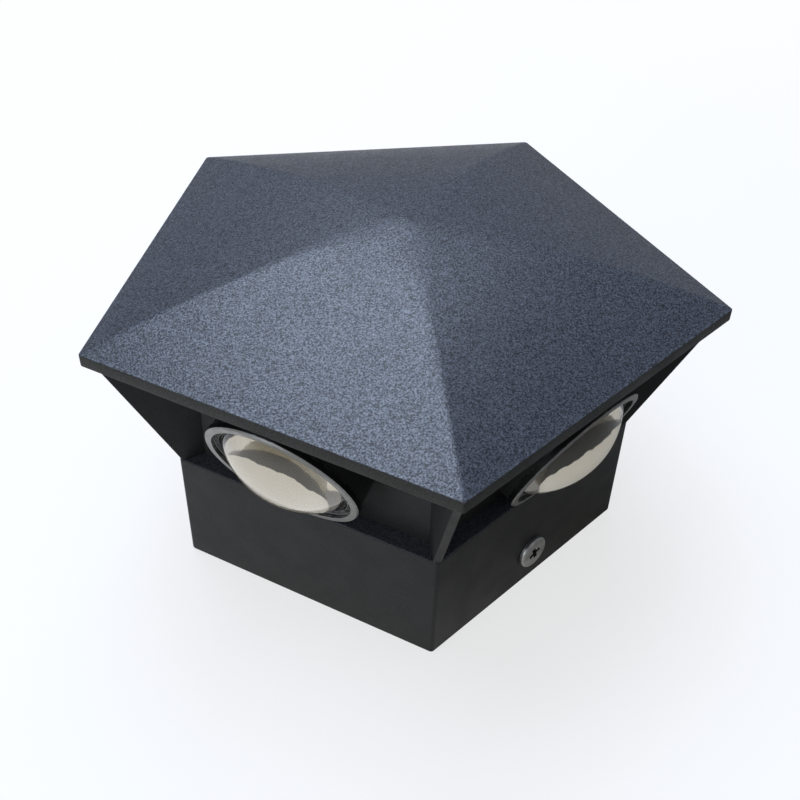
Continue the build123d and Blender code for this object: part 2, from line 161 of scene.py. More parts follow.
# %% [markdown]
# The photograph has a plain white ground. A material can tell with Light Path which ray
# asks for its colour, so the room is white where the camera, a shiny surface or glass
# looks at it, and dimmer where it only lights the lamp. A ray that has already left a
# dull surface only lights, even when it goes out through a lens, so it counts as dim.
# Overhead the room fades to grey in metal and glass, as a ceiling does, which gives them
# something to show besides white.

# %% World
WHITE = (1.0, 1.0, 1.0)
WORLD_LIGHT = 0.34
WORLD_COLOUR = (0.86, 0.92, 1.0, 1)
CEILING_START = -0.12
CEILING_END = 0.05
CEILING_GREY = (0.30, 0.315, 0.34)

world = bpy.data.worlds.new("white_room")
world.use_nodes = True
bpy.context.scene.world = world
tree = world.node_tree
dim = tree.nodes["Background"]
dim.inputs["Color"].default_value = WORLD_COLOUR
dim.inputs["Strength"].default_value = WORLD_LIGHT
way = add_node(tree, "TexCoord", {}, "Generated")
height = add_node(tree, "SeparateXYZ", {0: way}, "Z")
fade = ranged(tree, height, CEILING_START, CEILING_END, smooth=True)
camera_ray = add_node(tree, "LightPath", {}, "Is Camera Ray")
overhead = maths(tree, "SUBTRACT", fade, camera_ray, clamp=True)
white = add_node(tree, "Background", {"Color": blend_colour(tree, overhead, WHITE, CEILING_GREY)})
surface_from(tree, seen_rays(tree), dim.outputs[0], white, "World Output")
print("world", world.name)

# %% [markdown]
# The floor takes the shadow only near the lamp and is plain white further out, so that it
# has no visible edge. The real room was dimmer to the right and further off, and a coat
# that is looked along mirrors that, so the floor is darker there to glossy rays alone.
# Each row of four numbers is a range of distance in metres and the dimming at its ends.

# %% Floor
FLOOR_HALF = 6.0
FLOOR_LEVEL = -0.05
FLOOR_BOUNCE = (0.22, 0.22, 0.22)
FLOOR_SHADOW = 0.30
SHADOW_RANGE = (0.12, 0.60, 1 - FLOOR_SHADOW, 1.0)
FAR_DIM = (0.16, 0.42, 0.0, 0.90)
RIGHT_DIM = (0.0, 0.06, 0.0, 1.0)
RIGHT_WAY = (0.95, -0.30, 0.0)
DIM_ROOM = (0.13, 0.12, 0.095)
THROUGH_GLASS = 0.8

paper = bpy.data.materials.new("paper")
paper.use_nodes = True
tree = paper.node_tree
sheet = tree.nodes["Principled BSDF"]
sheet.inputs["Roughness"].default_value = 0.9
sheet.inputs["Specular IOR Level"].default_value = 0.1
seen = seen_rays(tree)
tree.links.new(blend_colour(tree, seen, FLOOR_BOUNCE, WHITE), sheet.inputs["Base Color"])
place = add_node(tree, "TexCoord", {}, "Object")
reach = add_node(tree, "VectorMath", {0: place}, "Value", operation="LENGTH")
aside = add_node(tree, "VectorMath", {0: place, 1: RIGHT_WAY}, "Value", operation="DOT_PRODUCT")
far = ranged(tree, reach, *FAR_DIM, smooth=True)
beside = ranged(tree, aside, *RIGHT_DIM, smooth=True)
path = add_node(tree, "LightPath", {}, None)
through = maths(tree, "MULTIPLY", path["Is Transmission Ray"], THROUGH_GLASS, clamp=True)
mirrored = maths(tree, "SUBTRACT", path["Is Glossy Ray"], through, clamp=True)
away = maths(tree, "MAXIMUM", far, beside, clamp=True)
darker = maths(tree, "MULTIPLY", away, mirrored, clamp=True)
glow = add_node(tree, "Emission", {"Color": blend_colour(tree, darker, WHITE, DIM_ROOM)})
share = maths(tree, "MULTIPLY", seen, ranged(tree, reach, *SHADOW_RANGE, smooth=True), clamp=True)
surface_from(tree, share, sheet.outputs[0], glow, "Material Output")

bm = bmesh.new()
bmesh.ops.create_grid(bm, x_segments=1, y_segments=1, size=FLOOR_HALF)
mesh = bpy.data.meshes.new("floor")
bm.to_mesh(mesh)
bm.free()
mesh.materials.append(paper)
floor = bpy.data.objects.new("floor", mesh)
floor.location.z = FLOOR_LEVEL * MM
bpy.context.scene.collection.objects.link(floor)
print("floor", 2 * FLOOR_HALF, "m wide")

# %% [markdown]
# The cover shows one long bluish window above and behind the lamp: its sheen runs from
# the crown down the front left panel and leaves the right panel dark. A lamp shows in
# a panel where it stands in the mirror direction, so the window's two ends are given as
# directions and the lamp is stretched between them. Two low lamps reach the lenses and
# the base under the overhang.

# %% Lamps
TARGET = Vector((0, 0, 0.045))
LAMP_DISTANCE = 0.8
WINDOWS = (
    ("window_above", (-0.42, -0.20, 0.89), (0.17, 0.73, 0.66), 0.50, 7.0, (0.70, 0.81, 1.0)),
    ("window_left", (-0.95, -0.40, 0.30), (-0.62, -0.85, 0.22), 0.30, 1.8, (0.90, 0.95, 1.0)),
    ("window_right", (0.55, -0.80, 0.16), (0.80, -0.55, 0.16), 0.22, 0.12, (1.0, 0.88, 0.72)),
)


def soft_lamp(name, one_end, other_end, depth, power, colour):
    """A soft rectangle, depth metres deep, whose long side spans two directions."""
    a, b = (Vector(v).normalized() * LAMP_DISTANCE for v in (one_end, other_end))
    away = (a + b).normalized()
    along = (b - a).normalized()
    data = bpy.data.lights.new(name, "AREA")
    data.shape = "RECTANGLE"
    data.size = (b - a).length
    data.size_y = depth
    data.energy = power
    data.color = colour
    lamp = bpy.data.objects.new(name, data)
    turn = Matrix((along, away.cross(along), away)).transposed().to_4x4()
    lamp.matrix_world = Matrix.Translation(TARGET + away * LAMP_DISTANCE) @ turn
    bpy.context.scene.collection.objects.link(lamp)


for window in WINDOWS:
    soft_lamp(*window)

# %% [markdown]
# Every finish here starts from the same small effects, so each of them is a node group
# that is built once: fine grain for bump, slow mottling for colour and gloss, and a mask
# of the edges, where a coat wears first. The Bevel node compares the surface with a
# rounded one and so finds the edges by itself.

# %% Shader groups
GRAIN_SHARES = (0.82, 0.18)
GRAIN_COARSER = 0.45
SPECK_RANGE = (0.40, 0.66)
SLOW_RANGE = (0.3, 0.7)
SMEAR_FINER = 5.3
SMEAR_RANGE = (0.35, 0.65)
EDGE_WIDTH = 0.5
EDGE_BEND = (0.995, 0.90)
EDGE_BREAKS = (0.42, 0.62)


def new_group(name, given, outputs):
    """A group with one number as its input; returns its tree, that input and its place."""
    tree = bpy.data.node_groups.new(name, "ShaderNodeTree")
    label, default = given
    socket = tree.interface.new_socket(label, in_out="INPUT", socket_type="NodeSocketFloat")
    socket.default_value = default
    for label in outputs:
        tree.interface.new_socket(label, in_out="OUTPUT", socket_type="NodeSocketFloat")
    number = tree.nodes.new("NodeGroupInput").outputs[0]
    return tree, number, add_node(tree, "TexCoord", {}, "Object")


def close_group(tree, **results):
    out = tree.nodes.new("NodeGroupOutput")
    for label, result in results.items():
        tree.links.new(result, out.inputs[label])
    return tree


def noise(tree, place, scale, detail):
    return add_node(tree, "TexNoise", {"Vector": place, "Scale": scale, "Detail": detail}, "Fac")


def make_grain():
    tree, scale, place = new_group("grain", ("Scale", 2000.0), ("Height", "Speck"))
    fine = noise(tree, place, scale, 2.0)
    coarse = noise(tree, place, maths(tree, "MULTIPLY", scale, GRAIN_COARSER), 1.0)
    parts = [maths(tree, "MULTIPLY", n, s) for n, s in zip((fine, coarse), GRAIN_SHARES)]
    height = maths(tree, "ADD", *parts)
    return close_group(tree, Height=height, Speck=ranged(tree, height, *SPECK_RANGE))


def make_mottle():
    tree, scale, place = new_group("mottle", ("Scale", 60.0), ("Slow", "Smear"))
    slow = noise(tree, place, scale, 4.0)
    smear = noise(tree, place, maths(tree, "MULTIPLY", scale, SMEAR_FINER), 5.0)
    slow, smear = ranged(tree, slow, *SLOW_RANGE), ranged(tree, smear, *SMEAR_RANGE)
    return close_group(tree, Slow=slow, Smear=smear)


def make_edges():
    tree, scale, place = new_group("edges", ("Break", 900.0), ("Mask",))
    rounded = add_node(tree, "Bevel", {"Radius": EDGE_WIDTH * MM}, samples=4)
    true = add_node(tree, "NewGeometry", {}, "Normal")
    alike = add_node(tree, "VectorMath", {0: rounded, 1: true}, "Value", operation="DOT_PRODUCT")
    edge = ranged(tree, alike, *EDGE_BEND)
    broken = ranged(tree, noise(tree, place, scale, 3.0), *EDGE_BREAKS)
    return close_group(tree, Mask=maths(tree, "MULTIPLY", edge, broken))


GRAIN, MOTTLE, EDGES = make_grain(), make_mottle(), make_edges()
print("groups", [g.name for g in (GRAIN, MOTTLE, EDGES)])

# %% [markdown]
# A finish is then one call: two colours that mottle into each other, a third that shows
# at the edges, a range of roughness and a depth of grain, and where asked, grain tops
# lightened in the colour as painted glints. Numbers that stay the same all over go
# straight to the shader's own sockets.


# %% One function for every finish
def add_group(tree, group, **values):
    return add_node(tree, "Group", values, None, node_tree=group)


def add_bump(tree, shader, depth, height):
    bump = add_node(tree, "Bump", {"Distance": depth * MM, "Height": height}, "Normal")
    tree.links.new(bump, shader.inputs["Normal"])


def finish(name, colour, second, worn, rough, grain, depth,
           slow=60.0, wear=0.5, painted_glints=0.0, glint=0.0, **sockets):
    """rough is (least, most), grain the grains in a metre and depth their height in mm."""
    material = bpy.data.materials.new(name)
    material.use_nodes = True
    tree = material.node_tree
    shader = tree.nodes["Principled BSDF"]
    for label, value in sockets.items():
        shader.inputs[label.replace("_", " ")].default_value = value
    grains = add_group(tree, GRAIN, Scale=grain)
    mottles = add_group(tree, MOTTLE, Scale=slow)
    base = blend_colour(tree, mottles["Slow"], colour, second)
    # Painted glints: the tops of the grain are lightened in the colour, as if they caught the
    # light.
    if painted_glints > 0:
        glint_colour = tuple(min(1.0, c * (1 + painted_glints)) for c in colour)
        base = blend_colour(tree, grains["Speck"], base, glint_colour)
    if wear > 0:
        mask = maths(tree, "MULTIPLY", add_group(tree, EDGES)["Mask"], wear)
        base = blend_colour(tree, mask, base, worn)
    tree.links.new(base, shader.inputs["Base Color"])
    if glint > 0:
        sparkle = maths(tree, "MULTIPLY", grains["Speck"], glint)
        tree.links.new(sparkle, shader.inputs["Coat Weight"])
    tree.links.new(ranged(tree, mottles["Smear"], 0.0, 1.0, *rough), shader.inputs["Roughness"])
    add_bump(tree, shader, depth, grains["Height"])
    return material


print("finish takes colours, roughness, grain and wear")

# %% [markdown]
# The cover is sprayed with a sandy powder coat, which melts into a skin of fine pimples
# about half a millimetre across. They catch the light one by one, so the grain is a bump,
# and its tops are lightened in the colour as painted glints. The castings under it have a
# finer, flatter skin in a neutral black, with fainter painted glints, so they look smooth
# beside the cover. The cover's faces that don't face up take a warmer copy of its coat:
# the warm tone is a painted reflection of the room. The ledge around the base is as sandy
# as the top, and its lighter, bluer colour is painted sheen from light that grazes it.

# %% Powder coats
cover_coat = finish(
    "cover_coat", (0.011, 0.013, 0.018), (0.013, 0.015, 0.021), (0.075, 0.082, 0.10),
    (0.34, 0.40), 2800.0, 0.11, slow=25.0, wear=0.5, painted_glints=6.0, glint=1.0,
    Specular_IOR_Level=0.36, Coat_Roughness=0.32)
body_coat = finish(
    "body_coat", (0.017, 0.0168, 0.0166), (0.020, 0.0198, 0.0196), (0.060, 0.060, 0.060),
    (0.44, 0.52), 3000.0, 0.035, slow=30.0, wear=0.45, painted_glints=0.5, Specular_IOR_Level=0.20)
# The cover's faces that don't face up: the same coat, warmer, as a painted reflection of the room.
rim_reflection_coat = finish(
    "rim_reflection_coat", (0.020, 0.0194, 0.0174), (0.023, 0.0222, 0.020), (0.09, 0.09, 0.085),
    (0.46, 0.54), 2800.0, 0.05, slow=30.0, wear=0.6, painted_glints=1.2, Specular_IOR_Level=0.22)
# The ledge: as sandy as the top, and lighter and bluer as painted sheen from grazing light.
ledge_sheen_coat = finish(
    "ledge_sheen_coat", (0.032, 0.035, 0.043), (0.038, 0.041, 0.050), (0.10, 0.105, 0.12),
    (0.36, 0.44), 3200.0, 0.09, slow=30.0, wear=0.7, painted_glints=1.6, glint=0.8, Coat_Roughness=0.35)
print("coats", [m.name for m in (cover_coat, body_coat, rim_reflection_coat, ledge_sheen_coat)])

# %% [markdown]
# Most bare metal here is thin zinc: on the screws it is bright, and on the bracket it is
# dull and a little cloudy. The lens rings are turned aluminium. Metals take a Metallic
# of 1, and their colour is the colour of their reflections. The flanks of the threads,
# the ring's lip and outer side and the screws' recesses are painted shade: a near-black
# finish that is only partly metallic.

# %% Metals
ring_metal = finish(
    "ring_metal", (0.23, 0.228, 0.22), (0.20, 0.20, 0.195), (0.40, 0.40, 0.39),
    (0.32, 0.44), 2600.0, 0.02, slow=90.0, wear=0.5, Metallic=1.0)
# Painted shade: a near-black, partly metallic finish for the ring's outer side, its lip, the flanks
# of its threads and the screws' recesses.
painted_shade_metal = finish(
    "painted_shade_metal", (0.012, 0.012, 0.012), (0.02, 0.02, 0.02), (0.16, 0.16, 0.16),
    (0.30, 0.45), 2600.0, 0.02, slow=200.0, wear=0.8, Metallic=0.6, Specular_IOR_Level=0.1)
bright_zinc = finish(
    "bright_zinc", (0.50, 0.50, 0.485), (0.27, 0.27, 0.275), (0.85, 0.85, 0.83),
    (0.28, 0.46), 1800.0, 0.07, slow=420.0, wear=0.6, Metallic=1.0)
dull_zinc = finish(
    "dull_zinc", (0.52, 0.53, 0.55), (0.40, 0.42, 0.45), (0.66, 0.66, 0.66),
    (0.32, 0.52), 1500.0, 0.02, slow=180.0, wear=0.3, Metallic=1.0)
plain_brass = finish(
    "plain_brass", (0.72, 0.53, 0.25), (0.60, 0.42, 0.19), (0.85, 0.68, 0.38),
    (0.22, 0.40), 2500.0, 0.015, slow=250.0, wear=0.3, Metallic=1.0)
print("metals", [m.name for m in (ring_metal, painted_shade_metal, bright_zinc, dull_zinc, plain_brass)])

# %% [markdown]
# Inside the lamp there are plastics and rubbers. Moulded nylon and rubber are dark and
# dull, the reflector is a cream gloss plastic, and the seal is a pale silicone.

# %% Plastics and rubbers
cream_gloss = finish(
    "cream_gloss", (0.60, 0.555, 0.47), (0.64, 0.60, 0.52), (0.74, 0.71, 0.64),
    (0.24, 0.34), 1200.0, 0.01, slow=120.0, wear=0.2, Coat_Weight=0.3)
white_mask = finish(
    "white_mask", (0.84, 0.84, 0.82), (0.78, 0.78, 0.76), (0.6, 0.6, 0.6),
    (0.30, 0.45), 1800.0, 0.01, slow=200.0, wear=0.3)
yellow_phosphor = finish(
    "yellow_phosphor", (0.86, 0.70, 0.16), (0.78, 0.60, 0.12), (0.9, 0.8, 0.4),
    (0.5, 0.7), 4000.0, 0.02, slow=500.0, wear=0.0)
white_ceramic = finish(
    "white_ceramic", (0.82, 0.82, 0.80), (0.76, 0.76, 0.74), (0.9, 0.9, 0.9),
    (0.4, 0.55), 3000.0, 0.01, slow=400.0, wear=0.2)
black_rubber = finish(
    "black_rubber", (0.018, 0.018, 0.018), (0.026, 0.026, 0.027), (0.05, 0.05, 0.05),
    (0.62, 0.80), 1800.0, 0.03, wear=0.4, Specular_IOR_Level=0.35)
soft_silicone = finish(
    "soft_silicone", (0.70, 0.70, 0.68), (0.62, 0.62, 0.60), (0.8, 0.8, 0.8),
    (0.35, 0.5), 1500.0, 0.015, wear=0.2)
driver_white = finish(
    "driver_white", (0.78, 0.78, 0.75), (0.70, 0.70, 0.67), (0.86, 0.86, 0.84),
    (0.38, 0.52), 1400.0, 0.03, slow=80.0, wear=0.4)
grey_foam = finish(
    "grey_foam", (0.09, 0.09, 0.10), (0.13, 0.13, 0.14), (0.2, 0.2, 0.2),
    (0.85, 0.95), 1100.0, 0.25, wear=0.3)
black_nylon = finish(
    "black_nylon", (0.022, 0.022, 0.023), (0.032, 0.032, 0.033), (0.09, 0.09, 0.09),
    (0.38, 0.52), 1600.0, 0.03, wear=0.5)
red_sleeve = finish(
    "red_sleeve", (0.42, 0.03, 0.022), (0.34, 0.022, 0.018), (0.6, 0.1, 0.08),
    (0.40, 0.55), 1500.0, 0.015, slow=200.0, wear=0.2)
print("materials", len(bpy.data.materials))

# %% [markdown]
# Glass needs care. A lamp's light can't find its way through a lens by chance, so the
# reflector behind would stay dark. The lens is therefore clear glass to every ray that
# shows it, and plainly transparent to the rays that only carry light.

# %% Lens glass
GLASS_TINT = (0.61, 0.565, 0.475, 1)
GLASS_SHADOW = (0.93, 0.94, 0.935, 1)
GLASS_INDEX = 1.49

lens_glass = bpy.data.materials.new("lens_glass")
lens_glass.use_nodes = True
tree = lens_glass.node_tree
shader = tree.nodes["Principled BSDF"]
shader.inputs["Base Color"].default_value = GLASS_TINT
shader.inputs["Transmission Weight"].default_value = 1.0
shader.inputs["IOR"].default_value = GLASS_INDEX
smears = add_group(tree, MOTTLE, Scale=90.0)
tree.links.new(ranged(tree, smears["Smear"], 0.0, 1.0, 0.0, 0.02), shader.inputs["Roughness"])
add_bump(tree, shader, 0.05, smears["Slow"])
clear = add_node(tree, "BsdfTransparent", {"Color": GLASS_SHADOW})
shadow_ray = add_node(tree, "LightPath", {}, "Is Shadow Ray")
surface_from(tree, shadow_ray, shader.outputs[0], clear, "Material Output")
print("glass index", GLASS_INDEX)

# %% [markdown]
# Every new piece goes through one function. It scales the millimetre drawing, puts the
# mesh where it belongs, so that the object itself stays at the origin, shades it smooth
# except across sharp edges, hangs it on an empty named after the body it rides on and
# hides the imported nodes it stands for. A small Bevel modifier breaks the sharp edges,
# as a real casting or turned part never has a perfect one.

# %% From a bmesh to a piece of the lamp
SHARP = 32.0
ROUNDING_SEGMENTS = 2
MERGE = 0.0005


def settle(bm, name, materials, body, replaced, edge=0.0, place=None, sharp=SHARP):
    bmesh.ops.scale(bm, vec=(MM, MM, MM), verts=bm.verts)
    if place is not None:
        bmesh.ops.transform(bm, matrix=place, verts=bm.verts)
    mesh = bpy.data.meshes.new(name)
    bm.to_mesh(mesh)
    bm.free()
    mesh.shade_smooth()
    mesh.set_sharp_from_angle(angle=math.radians(sharp))
    for material in materials:
        mesh.materials.append(material)
    piece = bpy.data.objects.new(name, mesh)
    bpy.context.scene.collection.objects.link(piece)
    if edge > 0:
        rounding = piece.modifiers.new("edges", "BEVEL")
        rounding.width = edge * MM
        rounding.segments = ROUNDING_SEGMENTS
        rounding.limit_method = "ANGLE"
        rounding.angle_limit = math.radians(sharp)
        rounding.use_clamp_overlap = False
        rounding.harden_normals = True
    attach(piece, body)
    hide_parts(*replaced)
    return piece


def turned(profile, steps=96):
    """Turns a line of (radius, height) points once round Z, as on a lathe."""
    bm = bmesh.new()
    verts = [bm.verts.new((r, 0, z)) for r, z in profile]
    edges = [bm.edges.new(pair) for pair in zip(verts, verts[1:])]
    bmesh.ops.spin(bm, geom=verts + edges, cent=(0, 0, 0), axis=(0, 0, 1), angle=math.tau,
                   steps=steps, use_merge=True)
    bmesh.ops.remove_doubles(bm, verts=bm.verts, dist=MERGE)
    bmesh.ops.dissolve_degenerate(bm, dist=MERGE, edges=bm.edges)
    bmesh.ops.recalc_face_normals(bm, faces=bm.faces)
    return bm


def join(bm, part, index=0, at=(0, 0, 0)):
    """Adds a part to bm at a place, with all its faces in the material of that index."""
    for face in part.faces:
        face.material_index = index
    bmesh.ops.translate(part, verts=part.verts, vec=at)
    mesh = bpy.data.meshes.new("part")
    part.to_mesh(mesh)
    part.free()
    bm.from_mesh(mesh)
    bpy.data.meshes.remove(mesh)


print("sharp edges from", SHARP, "degrees")

# %% [markdown]
# The cover is drawn like a lathe part, but with a pentagon instead of a circle: one loop
# after another, each with its own height and corner rounding, bridged to the one before.
# Every panel is then a true arc, and the hips between the panels are crisp at the rim
# and melt into the crown, because the corners of the loops grow rounder inwards.

# %% Pentagon loops
CORNER_SEGMENTS = 8


def pentagon_loop(bm, edge, height, rounding):
    made = bmesh.ops.create_circle(
        bm, cap_ends=True, radius=edge / APOTHEM, segments=FACES)["verts"]
    bmesh.ops.rotate(bm, verts=made, cent=(0, 0, 0), matrix=Matrix.Rotation(math.pi, 3, "Z"))
    bmesh.ops.translate(bm, verts=made, vec=(0, 0, height))
    offset = rounding * math.tan(math.radians(SECTOR / 2))
    rounded = bmesh.ops.bevel(
        bm, geom=made, offset=offset, offset_type="OFFSET", segments=CORNER_SEGMENTS,
        profile=0.5, affect="VERTICES", material=-1, clamp_overlap=False)["verts"]
    edges = list({e for v in rounded for e in v.link_edges})
    faces = list({f for v in rounded for f in v.link_faces})
    bmesh.ops.delete(bm, geom=faces, context="FACES_ONLY")
    return edges


def panel_height(edge):
    """Height of the outer surface at a distance from the middle, square to a side."""
    slope = math.radians(COVER_CROWN_SLOPE)
    s, c = math.sin(slope), math.cos(slope)
    radius = (COVER_EDGE ** 2 + COVER_RISE ** 2) / (2 * COVER_RISE * c - 2 * COVER_EDGE * s)
    crown = COVER_RIM_LOW + COVER_THICK + COVER_RISE
    return crown - radius * c + math.sqrt(radius ** 2 - (edge + radius * s) ** 2)


print("crown", panel_height(0), "mm")

# %% The cover's section
LOOPS = 26
LOOP_CROWDING = 1.15
SMALLEST_LOOP = 0.35
EDGE_STEPS = 4
EDGE_SIZE = 0.22
RIM_ROUNDING = 0.7
HIP_ROUNDING = 1.6
CROWN_ROUNDING = 14.0
MOST_ROUNDING = 0.97


def hip_rounding(edge):
    share = 1 - edge / COVER_EDGE
    rounding = RIM_ROUNDING + HIP_ROUNDING * share + CROWN_ROUNDING * share ** 6
    return min(MOST_ROUNDING * edge, rounding)


def cover_profile():
    """(edge, height, corner rounding) from the crown over the rim to the middle underneath."""
    steps = [COVER_EDGE * (1 - (i / LOOPS) ** LOOP_CROWDING) for i in range(LOOPS, 0, -1)]
    inside = [max(e, SMALLEST_LOOP) for e in steps if e < COVER_EDGE - EDGE_SIZE]
    top = [(e, panel_height(e)) for e in inside]
    low, high = COVER_RIM_LOW, COVER_RIM_LOW + COVER_THICK
    turns = [math.radians(90 * i / EDGE_STEPS) for i in range(EDGE_STEPS + 1)]
    rim = [(COVER_EDGE - EDGE_SIZE + EDGE_SIZE * math.sin(t),
            high - EDGE_SIZE + EDGE_SIZE * math.cos(t)) for t in turns]
    rim += [(COVER_EDGE - EDGE_SIZE * (1 - math.cos(t)),
             low + EDGE_SIZE * (1 - math.sin(t))) for t in turns]
    under = [(e, h - COVER_THICK) for e, h in reversed(top)]
    return [(e, h, hip_rounding(e)) for e, h in top + rim + under]


print("loops", len(cover_profile()))

# %% The cover
POST_RADIUS = 3.2
POST_CIRCLE = 38.04
POST_BOTTOM = 56.8
POST_TOP = 69.5
POST_STEPS = 32
SCREW_BORE = 1.55
SCREW_BORE_TOP = 65.0
TOP_FACING = 0.6
COVER_SHARP = 50.0

bm = bmesh.new()
loops = [pentagon_loop(bm, *row) for row in cover_profile()]
for a, b in zip(loops, loops[1:]):
    bmesh.ops.bridge_loops(bm, edges=a + b)
bmesh.ops.holes_fill(bm, edges=loops[0] + loops[-1], sides=0)
bmesh.ops.recalc_face_normals(bm, faces=bm.faces)
bm.normal_update()
post = [(0, SCREW_BORE_TOP), (SCREW_BORE, SCREW_BORE_TOP), (SCREW_BORE, POST_BOTTOM),
        (POST_RADIUS, POST_BOTTOM), (POST_RADIUS, POST_TOP), (0, POST_TOP)]
for index in range(FACES):
    angle = math.radians(FIRST_FACE + SECTOR / 2 + SECTOR * index)
    spot = (POST_CIRCLE * math.cos(angle), POST_CIRCLE * math.sin(angle), 0)
    join(bm, turned(post, POST_STEPS), at=spot)
# Faces that don't face up take the second coat, whose warm tone is a painted reflection of the
# room.
for face in bm.faces:
    face.material_index = int(face.normal.z < TOP_FACING)
cover = settle(bm, "cover_shell", [cover_coat, rim_reflection_coat], "lamp_head",
               ["cover_plate"], sharp=COVER_SHARP)
print("cover faces", len(cover.data.polygons))

# %% [markdown]
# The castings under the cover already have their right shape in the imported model. A copy
# is merged and its flat faces are made whole again, and then a bevel can break the edges.

# %% Housing castings
LEDGE_REACH = 1.0
CASTINGS = (
    ("base_casting", "housing_base", [body_coat, ledge_sheen_coat], 0.35),
    ("core_casting", "housing_core", [body_coat], 0.2),
    ("corner_fins", "housing_fins", [body_coat], 0.2),
    ("barrels", "lens_barrels", [body_coat], 0.2),
)


def refined(name, node, materials, body, edge):
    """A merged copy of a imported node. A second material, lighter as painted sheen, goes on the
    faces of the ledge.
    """
    bm = bmesh.new()
    bm.from_mesh(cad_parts[node].data)
    bmesh.ops.remove_doubles(bm, verts=bm.verts, dist=0.002 * MM)
    bmesh.ops.dissolve_limit(bm, angle_limit=math.radians(0.5), verts=bm.verts, edges=bm.edges)
    bmesh.ops.scale(bm, vec=(1 / MM, 1 / MM, 1 / MM), verts=bm.verts)
    for face in bm.faces:
        level = abs(face.calc_center_median().z - SKIRT_TOP) < LEDGE_REACH
        on_ledge = level and face.normal.z > TOP_FACING
        face.material_index = int(on_ledge and len(materials) > 1)
    return settle(bm, name, materials, body, [node], edge=edge)


for name, node, coats, edge in CASTINGS:
    piece = refined(name, node, coats, "lamp_head", edge)
    print(name, len(piece.data.polygons))

# %% [markdown]
# One lens unit is drawn about its own axis and placed five times. The ring is turned
# from bar and keeps the fine marks of the tool, and its mouth has a few turns of thread
# that catch the light beside the lens. Their flanks, the lip and the ring's outer side
# are painted dark as shade.

# %% Lens unit sizes
UNIT_STEPS = 128
RING_SHARP = 25.0
FIT = 0.05
SLACK = 0.1
SLEEVE_WALL = 0.65
RING_MOUTH = RING_RADIUS - 1.6
RING_LIP = RING_MOUTH - 1.15
LENS_RADIUS = RING_LIP - 0.15
BORE = RING_LIP + 0.5 + SLEEVE_WALL + SLACK
SEATED = BORE - FIT - SLEEVE_WALL - SLACK
FLANGE_BACK = -1.6
STEP_FACE = -1.0
SLEEVE_BACK = -5.2
LENS_RISE = 6.2
LENS_SINK = 1.2
LENS_BACK = -3.2
SEAL_BACK = -4.0
SEAL_WIDTH = 1.8
BOARD_TOP = -9.2
DOME_STEPS = 28
print("lens radius", round(LENS_RADIUS, 3), "seat", round(SEATED, 3))

# %% The ring's section
RING_CHAMFER = 0.3
STEP_TURNS = 3
STEP_START = 0.13
WALL_TURNS = 2
WALL_START = -0.95
WALL_LENGTH = 0.9
THREAD_DEPTH = 0.2
GROOVE_MIDDLE = 0.42
GROOVE_END = 0.84


def ring_profile():
    """(radius, height, dark) points; where dark is 1, the run to the next point takes painted
    shade.
    """
    sleeve = BORE - FIT
    points = [
        (RING_RADIUS - RING_CHAMFER, 0, 0), (RING_RADIUS, -RING_CHAMFER, 1),
        (RING_RADIUS, FLANGE_BACK, 0), (sleeve, FLANGE_BACK, 0), (sleeve, SLEEVE_BACK, 0),
        (sleeve - SLEEVE_WALL, SLEEVE_BACK, 0), (sleeve - SLEEVE_WALL, FLANGE_BACK, 0),
        (RING_LIP, FLANGE_BACK, 1), (RING_LIP, STEP_FACE - 0.1, 1), (RING_LIP + 0.07, STEP_FACE, 0),
    ]
    pitch = (RING_MOUTH - RING_LIP - STEP_START) / STEP_TURNS
    for i in range(STEP_TURNS):
        r = RING_LIP + STEP_START + pitch * i
        points += [(r, STEP_FACE, 1), (r + pitch * GROOVE_MIDDLE, STEP_FACE - THREAD_DEPTH, 1),
                   (r + pitch * GROOVE_END, STEP_FACE, 0)]
    pitch = WALL_LENGTH / WALL_TURNS
    for i in range(WALL_TURNS):
        z = WALL_START + pitch * i
        points += [(RING_MOUTH, z, 1), (RING_MOUTH + THREAD_DEPTH, z + pitch * GROOVE_MIDDLE, 1),
                   (RING_MOUTH, z + pitch * GROOVE_END, 0)]
    points += [(RING_MOUTH, -0.05, 0), (RING_MOUTH + 0.05, 0, 0)]
    return points + points[:1]


def paint_shaded_runs(bm, profile):
    """Gives the second material, painted shade, to the faces on the profile's dark runs."""
    runs = [((a[0] + b[0]) / 2, (a[1] + b[1]) / 2, a[2]) for a, b in zip(profile, profile[1:])]
    for face in bm.faces:
        level = face.calc_center_median().z
        reaches = [v.co.xy.length for v in face.verts]
        radius = (max(reaches) + min(reaches)) / 2
        nearest = min(runs, key=lambda run: math.hypot(run[0] - radius, run[1] - level))
        face.material_index = nearest[2]
    return bm


print("ring points", len(ring_profile()))

# %% Sections of the lens, its seal and the reflector cup
CUP_STEPS = 12
CUP_HOLE = 4.2
CUP_LIP = 2.4
CUP_BULGE = 0.45
CUP_WALL = 0.9
CUP_DROP = 1.7


def lens_profile():
    radius = (LENS_RADIUS ** 2 + LENS_RISE ** 2) / (2 * LENS_RISE)
    reach = math.asin(LENS_RADIUS / radius)
    top = LENS_RISE - LENS_SINK
    turns = [reach * i / DOME_STEPS for i in range(DOME_STEPS + 1)]
    dome = [(radius * math.sin(t), top - radius * (1 - math.cos(t))) for t in turns]
    rim = [(LENS_RADIUS, FLANGE_BACK), (SEATED, FLANGE_BACK), (SEATED, LENS_BACK), (0, LENS_BACK)]
    return dome + rim


def seal_profile():
    inner = SEATED - SEAL_WIDTH
    corners = [(SEATED, LENS_BACK), (SEATED, SEAL_BACK), (inner, SEAL_BACK), (inner, LENS_BACK)]
    return corners + corners[:1]


